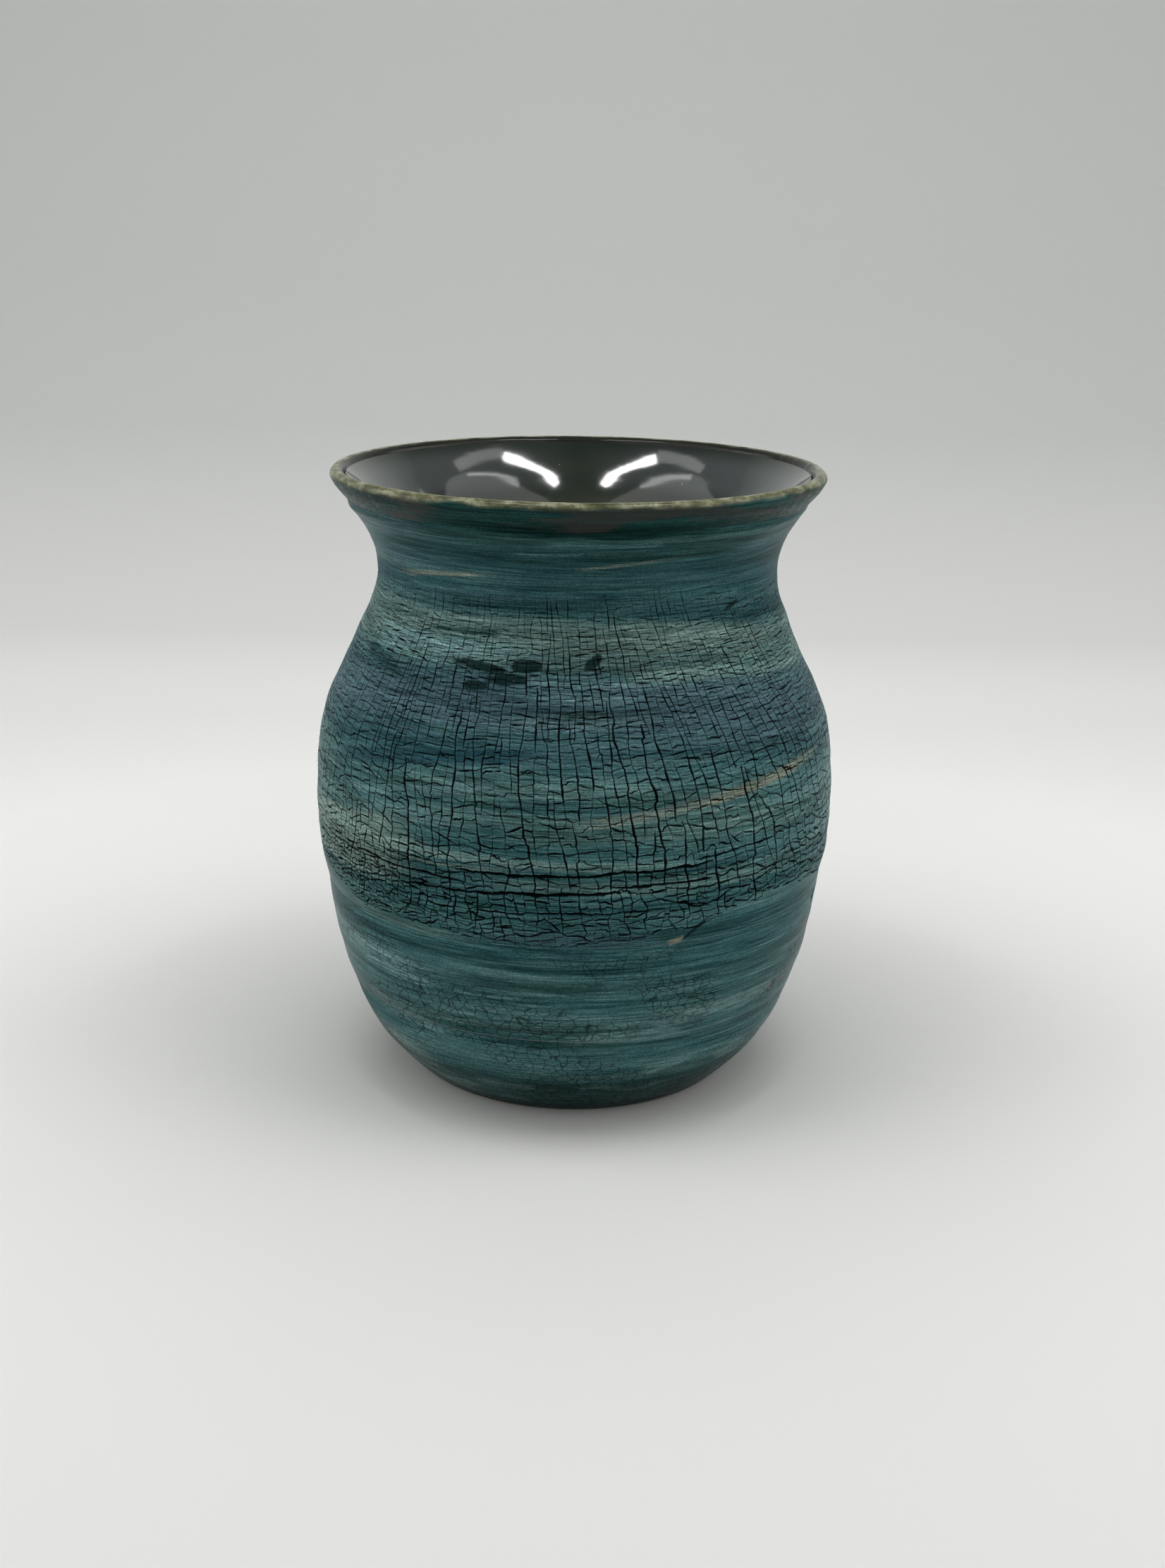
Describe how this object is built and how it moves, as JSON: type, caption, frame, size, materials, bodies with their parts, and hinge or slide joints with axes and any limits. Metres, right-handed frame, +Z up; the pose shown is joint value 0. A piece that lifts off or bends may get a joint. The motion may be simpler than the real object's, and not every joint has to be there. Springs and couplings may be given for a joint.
{
  "type": "stoneware vase",
  "caption": "Wheel-thrown vase with a full belly, narrow neck and flared lip, crackled blue-grey slip outside and a dark glossy liner.",
  "frame": {"origin": "centre of the foot's resting face", "axes": "+Z up along the axis of the pot, from foot to lip; the side that the picture shows faces -Y"},
  "size_m": [0.1128, 0.1128, 0.1325],
  "materials": {
    "fired_clay": "unglazed buff stoneware, dry and slightly gritty",
    "liner_glaze": "dark glossy liner glaze",
    "rim_glaze": "semi-gloss olive cream glaze",
    "crackle_slip": "satin brushed slip in slate blue, teal and grey green, cracked into small plates",
    "brushed_glaze": "smooth satin blue teal glaze with fine brush lines",
    "foot_glaze": "glossy green teal glaze with pale dabs"
  },
  "bodies": {
    "root": {"stoneware_body": "fired_clay", "liner_glaze": "liner_glaze", "rim_glaze": "rim_glaze", "crackle_slip": "crackle_slip", "brushed_glaze": "brushed_glaze", "foot_glaze": "foot_glaze"}
  },
  "joints": []
}
